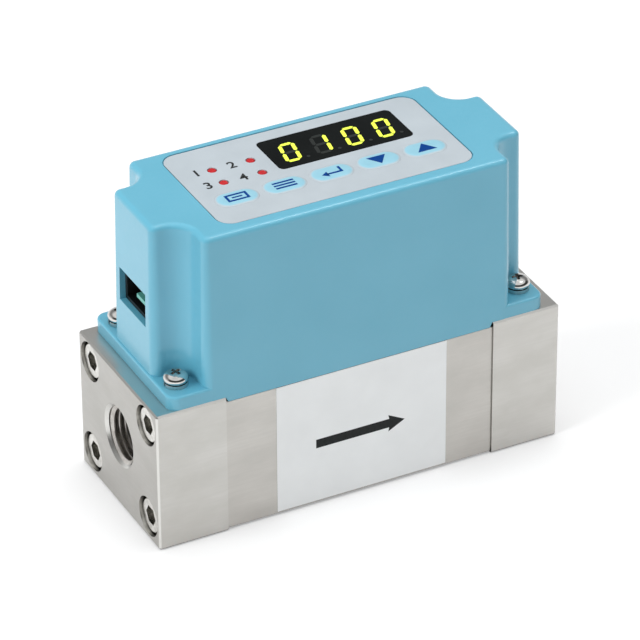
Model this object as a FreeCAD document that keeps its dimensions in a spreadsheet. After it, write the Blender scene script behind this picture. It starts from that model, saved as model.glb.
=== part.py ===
import FreeCAD, Part
import os

import Sketcher

# A gas mass flow meter: a steel flow body between two end blocks with tapered pipe ports, and a
# moulded cover over the electronics, with a display and five keys on top.
# Frame: millimetres, origin at the bottom centre, +X along the flow, -Y the labelled front, +Z up.

V = FreeCAD.Vector
os.makedirs("parts", exist_ok=True)
doc = FreeCAD.newDocument("mass_flow_meter")
sheet = doc.addObject("Spreadsheet::Sheet", "dim")
nodes = []

sizes = {
    # End blocks and their pipe ports
    "block_length": 16.4,
    "block_depth": 39.2,
    "block_height": 34,
    "block_chamfer": 0.4,
    "port_height": 18,
    "port_radius": 6.58,
    "port_rim_radius": 7.3,
    "port_rim_depth": 0.7,
    "thread_length": 11,
    "port_cone_length": 1,
    "bore_radius": 5,
    # Socket screws that hold each end block
    "block_screw_side_edge": 5.5,
    "block_screw_low_edge": 5.65,
    "block_screw_top_edge": 5.05,
    "socket_head_radius": 4.25,
    "socket_head_height": 5,
    "socket_head_bevel": 0.5,
    "socket_head_sink": 0.6,
    "counterbore_gap": 0.35,
    "socket_shank_radius": 2.5,
    "socket_shank_length": 20,
    "socket_key_width": 4,
    "socket_key_depth": 2.5,
    "clearance_hole_gap": 0.15,
    "tap_end_gap": 1,
    # Flow body between the end blocks
    "flow_length": 64.6,
    "flow_setback": 0.4,
    "flow_floor_gap": 0.4,
    "flow_top_drop": 1.2,
    "flow_chamfer": 0.2,
    "seal_mean_radius": 9.4,
    "seal_width": 1.8,
    "seal_thickness": 1.8,
    "seal_groove_gap": 0.15,
    "foot_hole_radius": 2,
    "foot_hole_depth": 6,
    "foot_spacing_x": 40,
    "foot_spacing_y": 24,
    # Screens and the straightener in the passage
    "element_radius": 7,
    "element_gap": 0.05,
    "screen_thickness": 0.5,
    "spacer_length": 5,
    "spacer_wall": 1.5,
    "straightener_length": 4,
    "element_hole_radius": 1.3,
    "element_hole_pitch": 3.4,
    # Flow sensor and its clamp
    "sensor_radius": 3.9,
    "sensor_gap": 0.1,
    "sensor_flange_radius": 8,
    "sensor_flange_thickness": 2,
    "sensor_lift": 0.4,
    "sensor_seal_drop": 6,
    "sensor_seal_width": 1.4,
    "chip_width": 2.4,
    "chip_thickness": 0.6,
    "pin_circle_radius": 2,
    "pin_radius": 0.35,
    "pin_gap": 0.05,
    "pin_floor": 1.9,
    "pin_stick_out": 0.8,
    "clamp_length": 29,
    "clamp_width": 18,
    "clamp_thickness": 1.6,
    "clamp_window_radius": 4.5,
    "clamp_screw_x": 11.5,
    "clamp_screw_length": 5,
    # Small cross-recessed screws
    "small_shank_radius": 1.5,
    "small_head_radius": 2.75,
    "small_head_height": 2.3,
    "small_head_bevel": 0.8,
    "small_hole_gap": 0.2,
    "cross_width": 0.65,
    "cross_length": 2.8,
    "cross_depth": 1.2,
    "fine_shank_radius": 1.25,
    "fine_head_radius": 2.2,
    "fine_cross_length": 2.1,
    # Moulded cover
    "flange_end_setback": 3.5,
    "flange_front_setback": 0.4,
    "flange_thickness": 3.2,
    "flange_corner": 2.5,
    "flange_rim": 0.5,
    "skirt_gap": 0.1,
    "skirt_taper": 0.6,
    "tower_end_ledge": 0.45,
    "tower_height": 39.6,
    "tower_draft": 0.9,
    "lobe_from_screw_x": 4.3,
    "lobe_from_screw_y": 3.9,
    "scallop_radius": 4.6,
    "tower_round": 1.3,
    "tower_corner": 2.1,
    "cover_wall": 2.2,
    "cover_screw_end_edge": 3.9,
    "cover_screw_front_edge": 5.3,
    "cover_screw_length": 6,
    "cover_tap_depth": 2.2,
    "spring_washer_radius": 2.6,
    "spring_washer_height": 0.8,
    "spring_washer_slit": 0.4,
    # Panel in the top of the cover
    "panel_left": 30.2,
    "panel_right": 30.2,
    "panel_front_margin": 4.05,
    "panel_back_margin": 3.05,
    "panel_corner": 3.5,
    "panel_gap": 0.25,
    "panel_recess": 0.5,
    "panel_thickness": 0.4,
    "window_centre_x": 7.05,
    "window_centre_y": 6.27,
    "window_length": 32.2,
    "window_width": 12.7,
    "window_corner": 1.3,
    "window_gap": 0.05,
    "window_ledge": 0.5,
    "lamp_left_x": 22.05,
    "lamp_pitch_x": 9.1,
    "lamp_back_y": 6.7,
    "lamp_pitch_y": 5.7,
    "lamp_radius": 1.02,
    "lamp_gap": 0.08,
    "lamp_bevel": 0.25,
    "key_first_x": -22.4,
    "key_pitch": 11.18,
    "key_y": -6.05,
    "key_length": 10,
    "key_width": 5.8,
    "key_rise": 0.3,
    "key_bevel": 0.25,
    # Boards behind the panel
    "display_board_end_gap": 4,
    "display_board_wall_gap": 1.75,
    "board_thickness": 1.6,
    "display_height": 6.4,
    "display_length": 30.2,
    "display_width": 11.2,
    "display_top_gap": 0.1,
    "boss_end_edge": 3.5,
    "boss_front_edge": 2.8,
    "boss_radius": 2.6,
    "boss_hole_extra": 0.2,
    "fine_screw_length": 6,
    "switch_width": 6,
    "switch_height": 3.5,
    "switch_floor": 0.5,
    "switch_roof": 0.8,
    "switch_cavity_radius": 2.4,
    "plunger_radius": 1.7,
    "plunger_gap": 0.05,
    "plunger_foot_radius": 2.2,
    "plunger_foot_height": 0.6,
    "plunger_top_gap": 0.05,
    "key_hole_gap": 0.25,
    # Main board, its standoffs and the side connector
    "standoff_x": 18,
    "standoff_edge": 3,
    "standoff_width": 5.5,
    "standoff_stud": 5,
    "main_board_end_gap": 6,
    "main_board_wall_gap": 1.55,
    "tongue_gap": 3.75,
    "tongue_side_edge": 4,
    "main_screw_length": 6,
    "connector_window_side_edge": 3.6,
    "connector_window_height": 8,
    "connector_window_rise": 10.8,
    "connector_reveal": 1.3,
    "connector_gap": 0.1,
    "connector_seat_gap": 0.3,
    "connector_depth": 12,
    "connector_flare": 0.4,
    "connector_wall": 0.9,
    "connector_back_wall": 2,
    "contact_width": 5.8,
    "contact_thickness": 0.9,
    "contact_front_gap": 0.15,
    "contact_edge_gap": 0.5,
    "contact_drop": 0.4,
    "link_length": 16,
    "link_width": 4,
    "link_edge": 3,
    "package_width": 9,
    "package_height": 1.4,
    "package_x": 9,
    "package_edge": 6.5,
    # Label on the front of the flow body
    "label_left": 20.3,
    "label_right": 20.9,
    "label_low_z": 0.9,
    "label_top_gap": 0.1,
    "label_thickness": 0.1,
}
for row, (name, number) in enumerate(sizes.items(), start=1):
    sheet.set(f"A{row}", name)
    sheet.set(f"B{row}", str(number))
    sheet.setAlias(f"B{row}", name)
doc.recompute()

# Faces and levels that several pieces share
BLOCK_INNER_X = "dim.flow_length / 2"
BLOCK_OUTER_X = "(dim.flow_length / 2 + dim.block_length)"
HEAD_FACE_X = "(dim.flow_length / 2 + dim.block_length - dim.socket_head_sink)"
SCREW_END_X = f"({HEAD_FACE_X} - dim.socket_head_height - dim.socket_shank_length)"
SCREW_PITCH_Z = "(dim.block_height - dim.block_screw_low_edge - dim.block_screw_top_edge)"
SCREW_HIGH_Z = "(dim.block_height - dim.block_screw_top_edge)"
SCREW_Y = "(dim.block_depth / 2 - dim.block_screw_side_edge)"
FLOW_TOP_Z = "(dim.block_height - dim.flow_top_drop)"
FLOW_FRONT_Y = "(dim.block_depth / 2 - dim.flow_setback)"
FLANGE_TOP_Z = "(dim.block_height + dim.flange_thickness)"
FLANGE_END_X = f"({BLOCK_OUTER_X} - dim.flange_end_setback)"
FLANGE_FRONT_Y = "(dim.block_depth / 2 - dim.flange_front_setback)"
TOWER_END_X = f"({FLANGE_END_X} - dim.tower_end_ledge)"
TOWER_FRONT_Y = f"({FLANGE_FRONT_Y} + dim.flange_thickness * tan(dim.tower_draft))"
COVER_SCREW_X = f"({FLANGE_END_X} - dim.cover_screw_end_edge)"
COVER_SCREW_Y = f"({FLANGE_FRONT_Y} - dim.cover_screw_front_edge)"
LOBE_X = f"({COVER_SCREW_X} - dim.lobe_from_screw_x)"
LOBE_Y = f"({COVER_SCREW_Y} - dim.lobe_from_screw_y)"
PANEL_FRONT_Y = f"({TOWER_FRONT_Y} - dim.panel_front_margin)"
PANEL_BACK_Y = f"({TOWER_FRONT_Y} - dim.panel_back_margin)"
COVER_TOP_Z = "(dim.block_height + dim.tower_height)"
ROOF_UNDER_Z = f"({COVER_TOP_Z} - dim.cover_wall)"
PANEL_SEAT_Z = f"({COVER_TOP_Z} - dim.panel_recess)"
PANEL_TOP_Z = f"({PANEL_SEAT_Z} + dim.panel_thickness)"
DISPLAY_TOP_Z = f"({PANEL_SEAT_Z} - dim.display_top_gap)"
DISPLAY_BOARD_TOP_Z = f"({DISPLAY_TOP_Z} - dim.display_height)"
DISPLAY_BOARD_LOW_Z = f"({DISPLAY_BOARD_TOP_Z} - dim.board_thickness)"
DISPLAY_BOARD_END_X = f"({LOBE_X} - dim.display_board_end_gap)"
DISPLAY_BOARD_FRONT_Y = f"({TOWER_FRONT_Y} - dim.cover_wall - dim.display_board_wall_gap)"
BOSS_X = f"({DISPLAY_BOARD_END_X} - dim.boss_end_edge)"
BOSS_Y = f"({DISPLAY_BOARD_FRONT_Y} - dim.boss_front_edge)"
WINDOW_HALF_Y = f"({LOBE_Y} - dim.connector_window_side_edge)"
WINDOW_LOW_Z = f"({FLANGE_TOP_Z} + dim.connector_window_rise)"
WINDOW_HIGH_Z = f"({WINDOW_LOW_Z} + dim.connector_window_height)"
MAIN_BOARD_TOP_Z = f"({WINDOW_LOW_Z} - dim.connector_seat_gap)"
MAIN_BOARD_LOW_Z = f"({MAIN_BOARD_TOP_Z} - dim.board_thickness)"
MAIN_BOARD_END_X = f"({LOBE_X} - dim.main_board_end_gap)"
MAIN_BOARD_FRONT_Y = f"({TOWER_FRONT_Y} - dim.cover_wall - dim.main_board_wall_gap)"
TONGUE_END_X = f"({TOWER_END_X} - dim.tongue_gap)"
TONGUE_HALF_Y = f"({LOBE_Y} - dim.tongue_side_edge)"
PACKAGE_Y = f"(dim.package_edge - {MAIN_BOARD_FRONT_Y})"
STANDOFF_Y = f"({MAIN_BOARD_FRONT_Y} - dim.standoff_edge)"
LINK_Y = f"({MAIN_BOARD_FRONT_Y} - dim.link_edge)"
SENSOR_FACE_Z = "(dim.port_height + dim.bore_radius - dim.sensor_lift)"
SENSOR_SEAL_Z = f"({FLOW_TOP_Z} - dim.sensor_seal_drop)"
PIN_START_Z = f"({SENSOR_FACE_Z} + dim.pin_floor)"
CLAMP_TOP_Z = f"({FLOW_TOP_Z} + dim.clamp_thickness)"
ELEMENT_DEPTH = "(dim.screen_thickness + dim.spacer_length + dim.straightener_length)"
WINDOW_MID_Z = f"({WINDOW_LOW_Z} + dim.connector_window_height / 2)"
WALL_AT_WINDOW_X = f"({TOWER_END_X} - ({WINDOW_MID_Z} - dim.block_height) * tan(dim.tower_draft))"
CONNECTOR_FACE_X = f"({WALL_AT_WINDOW_X} - dim.connector_reveal)"
CONNECTOR_SHOULDER_X = f"({WALL_AT_WINDOW_X} - dim.cover_wall - dim.connector_flare)"
CONNECTOR_BACK_X = f"({CONNECTOR_FACE_X} - dim.connector_depth)"


def value(text):
    """The number that an expression on the sheet gives."""
    return float(sheet.evalExpression(text))


def signed(side, text):
    """The expression as it is for side 1, or negated for side -1."""
    return text if side > 0 else f"-({text})"


def new_body(name):
    """A named sub-part, whose label is also its file's name."""
    body = doc.addObject("PartDesign::Body", name)
    body.Label = name
    nodes.append(body)
    return body


def datum(body, role):
    """One of the body's own origin planes or axes."""
    return next(item for item in body.Origin.OriginFeatures if item.Role == role)


def sketch_on(body, role, level="0", across="0", along="0"):
    """A sketch on an origin plane, lifted to a level and shifted in its own plane."""
    sketch = body.newObject("Sketcher::SketchObject", f"{body.Name}_sketch")
    sketch.AttachmentSupport = [(datum(body, role), "")]
    sketch.MapMode = "FlatFace"
    sketch.setExpression("AttachmentOffset.Base.x", across)
    sketch.setExpression("AttachmentOffset.Base.y", along)
    sketch.setExpression("AttachmentOffset.Base.z", level)
    return sketch


def bind(sketch, constraint, text):
    """Add a dimension to the sketch and tie it to an expression."""
    number = sketch.addConstraint(constraint)
    sketch.setExpression(f"Constraints[{number}]", text)


def pin(sketch, shape, vertex, place):
    """Hold a vertex at an expression pair, measured from the sketch's origin."""
    for kind, text in zip(("DistanceX", "DistanceY"), place):
        bind(sketch, Sketcher.Constraint(kind, -1, 1, shape, vertex, value(text)), text)


def outline(sketch, corners, arcs=None):
    """A closed outline; arcs maps the number of a side to the centre of its arc.

    A half circle bulges outwards when the corners run anticlockwise.
    """
    arcs = arcs or {}
    points = [V(value(x), value(y), 0) for x, y in corners]
    count = len(corners)
    shapes = []
    for side in range(count):
        start = points[side]
        end = points[(side + 1) % count]
        if side in arcs:
            centre = V(*(value(text) for text in arcs[side]), 0)
            middle = (start + end) * 0.5 - centre
            if middle.Length < 0.001:
                middle = V(end.y - start.y, start.x - end.x, 0)
            middle = centre + middle * ((start - centre).Length / middle.Length)
            curve = Part.Arc(start, middle, end)
        else:
            curve = Part.LineSegment(start, end)
        shapes.append(sketch.addGeometry(curve, False))
    ends = []
    for side, shape in enumerate(shapes):
        first = sketch.getPoint(shape, 1)
        forward = (first - points[side]).Length < (first - points[(side + 1) % count]).Length
        ends.append((1, 2) if forward else (2, 1))
    for side, shape in enumerate(shapes):
        following = (side + 1) % count
        pin(sketch, shape, ends[side][0], corners[side])
        sketch.addConstraint(
            Sketcher.Constraint("Coincident", shape, ends[side][1], shapes[following], ends[following][0])
        )
        if side in arcs:
            chord = points[following] - points[side]
            axis = 0 if abs(chord.y) >= abs(chord.x) else 1
            text = arcs[side][axis]
            bind(sketch, Sketcher.Constraint(f"Distance{'XY'[axis]}", -1, 1, shape, 3, value(text)), text)


def rectangle(sketch, left, right, low, high):
    """A rectangle between four expressions."""
    outline(sketch, [(left, low), (right, low), (right, high), (left, high)])


def rounded_rectangle(sketch, left, right, low, high, radius):
    """A rectangle with quarter-round corners."""
    corners = []
    arcs = {}
    for sx, sy in ((1, -1), (1, 1), (-1, 1), (-1, -1)):
        x = right if sx > 0 else left
        y = high if sy > 0 else low
        centre = (f"({x}) - ({sx}) * ({radius})", f"({y}) - ({sy}) * ({radius})")
        beside = (centre[0], y)
        above = (x, centre[1])
        arcs[len(corners)] = centre
        corners += [beside, above] if sx * sy < 0 else [above, beside]
    outline(sketch, corners, arcs)


def circle(sketch, x, y, radius):
    """A circle about an expression pair."""
    shape = sketch.addGeometry(Part.Circle(V(value(x), value(y), 0), V(0, 0, 1), value(radius)), False)
    pin(sketch, shape, 3, (x, y))
    bind(sketch, Sketcher.Constraint("Radius", shape, value(radius)), radius)


def hexagon(sketch, x, y, width):
    """A regular hexagon by its width across flats, with one corner along the sketch's x."""
    corners = []
    for number in range(6):
        turn = 60 * number
        corners.append((
            f"({x}) + ({width}) / 2 / cos(30) * cos({turn})",
            f"({y}) + ({width}) / 2 / cos(30) * sin({turn})",
        ))
    outline(sketch, corners)


def extrude(kind, sketch, length, reverse=False, draft=None, middle=False):
    """Pad or pocket a sketch; length None goes through everything."""
    body = sketch.getParentGeoFeatureGroup()
    feature = body.newObject(f"PartDesign::{kind}", f"{body.Name}_{kind.lower()}")
    feature.Profile = sketch
    if length is None:
        feature.Type = "ThroughAll"
    else:
        feature.setExpression("Length", length)
    feature.Reversed = reverse
    feature.Midplane = middle
    if draft:
        feature.setExpression("TaperAngle", draft)
    doc.recompute()
    return feature


def turn(kind, sketch, axis):
    """Revolve a sketch a full turn about its own horizontal or vertical axis, to add or to cut."""
    body = sketch.getParentGeoFeatureGroup()
    feature = body.newObject(f"PartDesign::{kind}", f"{body.Name}_{kind.lower()}")
    feature.Profile = sketch
    feature.ReferenceAxis = (sketch, [axis])
    feature.Angle = 360
    doc.recompute()
    return feature


def dress(kind, base, amount, test):
    """Fillet or chamfer the edges of a feature whose bounding box passes the test."""
    body = base.getParentGeoFeatureGroup()
    names = [f"Edge{number}" for number, edge in enumerate(base.Shape.Edges, 1) if test(edge.BoundBox)]
    feature = body.newObject(f"PartDesign::{kind}", f"{body.Name}_{kind.lower()}")
    feature.Base = (base, names)
    feature.setExpression("Radius" if kind == "Fillet" else "Size", amount)
    doc.recompute()
    return feature


def repeat(features, planes=(), pitch=None):
    """Mirror features in the named planes, and step them once along Z by the pitch."""
    body = features[0].getParentGeoFeatureGroup()
    group = body.newObject("PartDesign::MultiTransform", f"{body.Name}_copies")
    steps = []
    for role in planes:
        mirror = body.newObject("PartDesign::Mirrored", f"{body.Name}_mirror")
        mirror.MirrorPlane = (datum(body, role), [""])
        steps.append(mirror)
    if pitch:
        row = body.newObject("PartDesign::LinearPattern", f"{body.Name}_row")
        row.Direction = (datum(body, "Z_Axis"), [""])
        row.Occurrences = 2
        row.setExpression("Length", pitch)
        steps.append(row)
    group.Originals = features
    group.Transformations = steps
    body.Tip = group
    doc.recompute()
    return group


def end_block(name, side):
    """A steel block with a pipe port in its outer face and four counterbored screw holes."""
    body = new_body(name)
    section = sketch_on(body, "YZ_Plane", signed(side, BLOCK_INNER_X))
    rectangle(section, "-dim.block_depth / 2", "dim.block_depth / 2", "0", "dim.block_height")
    block = extrude("Pad", section, "dim.block_length", reverse=side < 0)
    inner = value(signed(side, BLOCK_INNER_X))
    block = dress("Chamfer", block, "dim.block_chamfer",
                  lambda box: max(abs(box.XMin - inner), abs(box.XMax - inner)) > 1)
    port = sketch_on(body, "XY_Plane", "dim.port_height")
    depths = (
        ("0", "0"),
        ("0", "dim.port_rim_radius"),
        ("dim.port_rim_depth", "dim.port_radius"),
        ("dim.thread_length", "dim.port_radius"),
        ("dim.thread_length + dim.port_cone_length", "dim.bore_radius"),
        ("dim.block_length", "dim.bore_radius"),
        ("dim.block_length", "0"),
    )
    outline(port, [(signed(side, f"{BLOCK_OUTER_X} - ({depth})"), radius) for depth, radius in depths])
    turn("Groove", port, "H_Axis")
    for radius, depth in (
        ("dim.socket_head_radius + dim.counterbore_gap", "dim.socket_head_height + dim.socket_head_sink"),
        ("dim.socket_shank_radius + dim.clearance_hole_gap", "dim.block_length"),
    ):
        holes = sketch_on(body, "YZ_Plane", signed(side, BLOCK_OUTER_X))
        for y in (SCREW_Y, f"-{SCREW_Y}"):
            circle(holes, y, "dim.block_screw_low_edge", radius)
            circle(holes, y, SCREW_HIGH_Z, radius)
        extrude("Pocket", holes, depth, reverse=side < 0)
    taps = sketch_on(body, "XY_Plane", "dim.block_height")
    for y in (COVER_SCREW_Y, f"-{COVER_SCREW_Y}"):
        circle(taps, signed(side, COVER_SCREW_X), y, "dim.small_shank_radius")
    extrude("Pocket", taps, "dim.cover_tap_depth")


def flow_body():
    """The middle block: flow passage, seal grooves, screw holes, sensor port and foot holes."""
    body = new_body("flow_body")
    section = sketch_on(body, "YZ_Plane")
    rectangle(section, f"-{FLOW_FRONT_Y}", FLOW_FRONT_Y, "dim.flow_floor_gap", FLOW_TOP_Z)
    block = extrude("Pad", section, "dim.flow_length", middle=True)
    dress("Chamfer", block, "dim.flow_chamfer", lambda box: box.XLength > 1)

    passage = sketch_on(body, "XY_Plane", "dim.port_height")
    outline(passage, [
        (f"-{BLOCK_INNER_X}", "0"),
        (f"-{BLOCK_INNER_X}", "dim.element_radius + dim.element_gap"),
        (f"-{BLOCK_INNER_X} + {ELEMENT_DEPTH}", "dim.element_radius + dim.element_gap"),
        (f"-{BLOCK_INNER_X} + {ELEMENT_DEPTH}", "dim.bore_radius"),
        (f"{BLOCK_INNER_X} - dim.screen_thickness", "dim.bore_radius"),
        (f"{BLOCK_INNER_X} - dim.screen_thickness", "dim.element_radius + dim.element_gap"),
        (BLOCK_INNER_X, "dim.element_radius + dim.element_gap"),
        (BLOCK_INNER_X, "0"),
    ])
    for side in (-1, 1):
        rectangle(
            passage,
            signed(side, f"{BLOCK_INNER_X} - dim.seal_thickness"),
            signed(side, BLOCK_INNER_X),
            "dim.seal_mean_radius - dim.seal_width / 2 - dim.seal_groove_gap",
            "dim.seal_mean_radius + dim.seal_width / 2 + dim.seal_groove_gap",
        )
    turn("Groove", passage, "H_Axis")

    screws = sketch_on(body, "YZ_Plane", BLOCK_INNER_X)
    for y in (SCREW_Y, f"-{SCREW_Y}"):
        for z in ("dim.block_screw_low_edge", SCREW_HIGH_Z):
            circle(screws, y, z, "dim.socket_shank_radius")
    taps = extrude("Pocket", screws, f"{BLOCK_INNER_X} - {SCREW_END_X} + dim.tap_end_gap")
    repeat([taps], ["YZ_Plane"])

    port = sketch_on(body, "XZ_Plane")
    outline(port, [
        ("0", "dim.port_height"),
        ("dim.sensor_radius + dim.sensor_gap", "dim.port_height"),
        ("dim.sensor_radius + dim.sensor_gap", f"{FLOW_TOP_Z} - dim.sensor_flange_thickness"),
        ("dim.sensor_flange_radius + dim.sensor_gap", f"{FLOW_TOP_Z} - dim.sensor_flange_thickness"),
        ("dim.sensor_flange_radius + dim.sensor_gap", FLOW_TOP_Z),
        ("0", FLOW_TOP_Z),
    ])
    turn("Groove", port, "V_Axis")

    holes = sketch_on(body, "XY_Plane", FLOW_TOP_Z)
    for x in ("dim.clamp_screw_x", "-dim.clamp_screw_x"):
        circle(holes, x, "0", "dim.small_shank_radius")
    for x in ("dim.standoff_x", "-dim.standoff_x"):
        for y in (STANDOFF_Y, f"-{STANDOFF_Y}"):
            circle(holes, x, y, "dim.small_shank_radius")
    extrude("Pocket", holes, "dim.standoff_stud + dim.tap_end_gap")

    feet = sketch_on(body, "XY_Plane", "dim.flow_floor_gap")
    for x in ("dim.foot_spacing_x / 2", "-dim.foot_spacing_x / 2"):
        for y in ("dim.foot_spacing_y / 2", "-dim.foot_spacing_y / 2"):
            circle(feet, x, y, "dim.foot_hole_radius")
    extrude("Pocket", feet, "dim.foot_hole_depth", reverse=True)


def seal_ring(name, side):
    """A square-section ring in the groove between an end block and the flow body."""
    body = new_body(name)
    section = sketch_on(body, "XY_Plane", "dim.port_height")
    rectangle(section, signed(side, f"{BLOCK_INNER_X} - dim.seal_thickness"), signed(side, BLOCK_INNER_X),
              "dim.seal_mean_radius - dim.seal_width / 2", "dim.seal_mean_radius + dim.seal_width / 2")
    turn("Revolution", section, "H_Axis")


def block_screws(name, side):
    """Four socket head screws with hexagon recesses, heads outwards."""
    body = new_body(name)
    profile = sketch_on(body, "XY_Plane", "dim.block_screw_low_edge", along=SCREW_Y)
    steps = (
        ("0", "0"),
        ("0", "dim.socket_head_radius - dim.socket_head_bevel"),
        ("dim.socket_head_bevel", "dim.socket_head_radius"),
        ("dim.socket_head_height", "dim.socket_head_radius"),
        ("dim.socket_head_height", "dim.socket_shank_radius"),
        ("dim.socket_head_height + dim.socket_shank_length", "dim.socket_shank_radius"),
        ("dim.socket_head_height + dim.socket_shank_length", "0"),
    )
    outline(profile, [(signed(side, f"{HEAD_FACE_X} - ({depth})"), radius) for depth, radius in steps])
    screw = turn("Revolution", profile, "H_Axis")
    recess = sketch_on(body, "YZ_Plane", signed(side, HEAD_FACE_X))
    hexagon(recess, SCREW_Y, "dim.block_screw_low_edge", "dim.socket_key_width")
    socket = extrude("Pocket", recess, "dim.socket_key_depth", reverse=side < 0)
    repeat([screw, socket], ["XZ_Plane"], SCREW_PITCH_Z)


def flow_element(name, start, thickness):
    """A disc across the passage, pierced by six round holes about a centre hole."""
    body = new_body(name)
    disc = sketch_on(body, "YZ_Plane", start)
    circle(disc, "0", "dim.port_height", "dim.element_radius")
    extrude("Pad", disc, thickness)
    holes = sketch_on(body, "YZ_Plane", start)
    circle(holes, "0", "dim.port_height", "dim.element_hole_radius")
    for number in range(6):
        circle(holes, f"dim.element_hole_pitch * cos({60 * number})",
               f"dim.port_height + dim.element_hole_pitch * sin({60 * number})", "dim.element_hole_radius")
    extrude("Pocket", holes, thickness, reverse=True)


def screen_spacer():
    """The ring that holds the inlet screen away from the straightener."""
    body = new_body("screen_spacer")
    ring = sketch_on(body, "YZ_Plane", f"-{BLOCK_INNER_X} + dim.screen_thickness")
    circle(ring, "0", "dim.port_height", "dim.element_radius")
    circle(ring, "0", "dim.port_height", "dim.element_radius - dim.spacer_wall")
    extrude("Pad", ring, "dim.spacer_length")


def pin_places():
    """The six pin centres on their circle, as expression pairs."""
    turns = (60 * number for number in range(6))
    return [(f"dim.pin_circle_radius * cos({t})", f"dim.pin_circle_radius * sin({t})") for t in turns]


def sensor():
    """The flow sensor: a flanged plug with chip, seal and pins, held down by a screwed clamp."""
    body = new_body("sensor_header")
    groove_radius = "dim.sensor_radius + dim.sensor_gap - dim.sensor_seal_width"
    groove_low = f"{SENSOR_SEAL_Z} - dim.sensor_seal_width / 2"
    groove_high = f"{SENSOR_SEAL_Z} + dim.sensor_seal_width / 2"
    plug = sketch_on(body, "XZ_Plane")
    outline(plug, [
        ("0", SENSOR_FACE_Z),
        ("dim.sensor_radius", SENSOR_FACE_Z),
        ("dim.sensor_radius", groove_low),
        (groove_radius, groove_low),
        (groove_radius, groove_high),
        ("dim.sensor_radius", groove_high),
        ("dim.sensor_radius", f"{FLOW_TOP_Z} - dim.sensor_flange_thickness"),
        ("dim.sensor_flange_radius", f"{FLOW_TOP_Z} - dim.sensor_flange_thickness"),
        ("dim.sensor_flange_radius", FLOW_TOP_Z),
        ("0", FLOW_TOP_Z),
    ])
    turn("Revolution", plug, "V_Axis")
    holes = sketch_on(body, "XY_Plane", FLOW_TOP_Z)
    for x, y in pin_places():
        circle(holes, x, y, "dim.pin_radius + dim.pin_gap")
    extrude("Pocket", holes, f"{FLOW_TOP_Z} - {PIN_START_Z}")

    body = new_body("sensor_chip")
    chip = sketch_on(body, "XY_Plane", SENSOR_FACE_Z)
    rectangle(chip, "-dim.chip_width / 2", "dim.chip_width / 2", "-dim.chip_width / 2", "dim.chip_width / 2")
    extrude("Pad", chip, "dim.chip_thickness", reverse=True)

    body = new_body("sensor_seal")
    section = sketch_on(body, "XZ_Plane")
    rectangle(section, groove_radius, "dim.sensor_radius + dim.sensor_gap", groove_low, groove_high)
    turn("Revolution", section, "V_Axis")

    body = new_body("sensor_pins")
    pins = sketch_on(body, "XY_Plane", PIN_START_Z)
    for x, y in pin_places():
        circle(pins, x, y, "dim.pin_radius")
    extrude("Pad", pins, f"{MAIN_BOARD_TOP_Z} + dim.pin_stick_out - {PIN_START_Z}")

    body = new_body("sensor_clamp")
    plate = sketch_on(body, "XY_Plane", FLOW_TOP_Z)
    rounded_rectangle(plate, "-dim.clamp_length / 2", "dim.clamp_length / 2", "-dim.clamp_width / 2",
                      "dim.clamp_width / 2", "dim.small_head_radius")
    circle(plate, "0", "0", "dim.clamp_window_radius")
    for x in ("dim.clamp_screw_x", "-dim.clamp_screw_x"):
        circle(plate, x, "0", "dim.small_shank_radius + dim.small_hole_gap")
    extrude("Pad", plate, "dim.clamp_thickness")


def cross_screws(name, place, seat, length, planes, fine=False, upward=False):
    """Pan head screws with a cross recess, mirrored in the given planes; upward ones hang head down."""
    body = new_body(name)
    shank = "dim.fine_shank_radius" if fine else "dim.small_shank_radius"
    head = "dim.fine_head_radius" if fine else "dim.small_head_radius"
    way = -1 if upward else 1
    x, y = place
    profile = sketch_on(body, "XZ_Plane", level=f"-({y})", across=x)
    steps = (
        ("0", f"-({length})"),
        (shank, f"-({length})"),
        (shank, "0"),
        (head, "0"),
        (head, "dim.small_head_height - dim.small_head_bevel"),
        (f"{head} - dim.small_head_bevel", "dim.small_head_height"),
        ("0", "dim.small_head_height"),
    )
    outline(profile, [(radius, f"{seat} + ({way}) * ({rise})") for radius, rise in steps])
    screw = turn("Revolution", profile, "V_Axis")
    recess = sketch_on(body, "XY_Plane", f"{seat} + ({way}) * dim.small_head_height")
    long = "dim.fine_cross_length / 2" if fine else "dim.cross_length / 2"
    thin = "dim.cross_width / 2"
    arm = [(long, thin), (thin, thin), (thin, long)]
    corners = []
    for sx, sy in ((1, 1), (-1, 1), (-1, -1), (1, -1)):
        quarter = [(f"{x} + ({sx}) * {a}", f"{y} + ({sy}) * {b}") for a, b in arm]
        corners += quarter if sx * sy > 0 else quarter[::-1]
    outline(recess, corners)
    cross = extrude("Pocket", recess, "dim.cross_depth", reverse=upward)
    repeat([screw, cross], planes)


def main_board():
    """The lower circuit board, with a tongue that reaches out under the side connector."""
    body = new_body("main_board")
    shape = sketch_on(body, "XY_Plane", MAIN_BOARD_LOW_Z)
    outline(shape, [
        (MAIN_BOARD_END_X, f"-{MAIN_BOARD_FRONT_Y}"),
        (MAIN_BOARD_END_X, MAIN_BOARD_FRONT_Y),
        (f"-{MAIN_BOARD_END_X}", MAIN_BOARD_FRONT_Y),
        (f"-{MAIN_BOARD_END_X}", TONGUE_HALF_Y),
        (f"-{TONGUE_END_X}", TONGUE_HALF_Y),
        (f"-{TONGUE_END_X}", f"-{TONGUE_HALF_Y}"),
        (f"-{MAIN_BOARD_END_X}", f"-{TONGUE_HALF_Y}"),
        (f"-{MAIN_BOARD_END_X}", f"-{MAIN_BOARD_FRONT_Y}"),
    ])
    for x in ("dim.standoff_x", "-dim.standoff_x"):
        for y in (STANDOFF_Y, f"-{STANDOFF_Y}"):
            circle(shape, x, y, "dim.small_shank_radius + dim.small_hole_gap")
    for x, y in pin_places():
        circle(shape, x, y, "dim.pin_radius + dim.pin_gap")
    extrude("Pad", shape, "dim.board_thickness")


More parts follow.
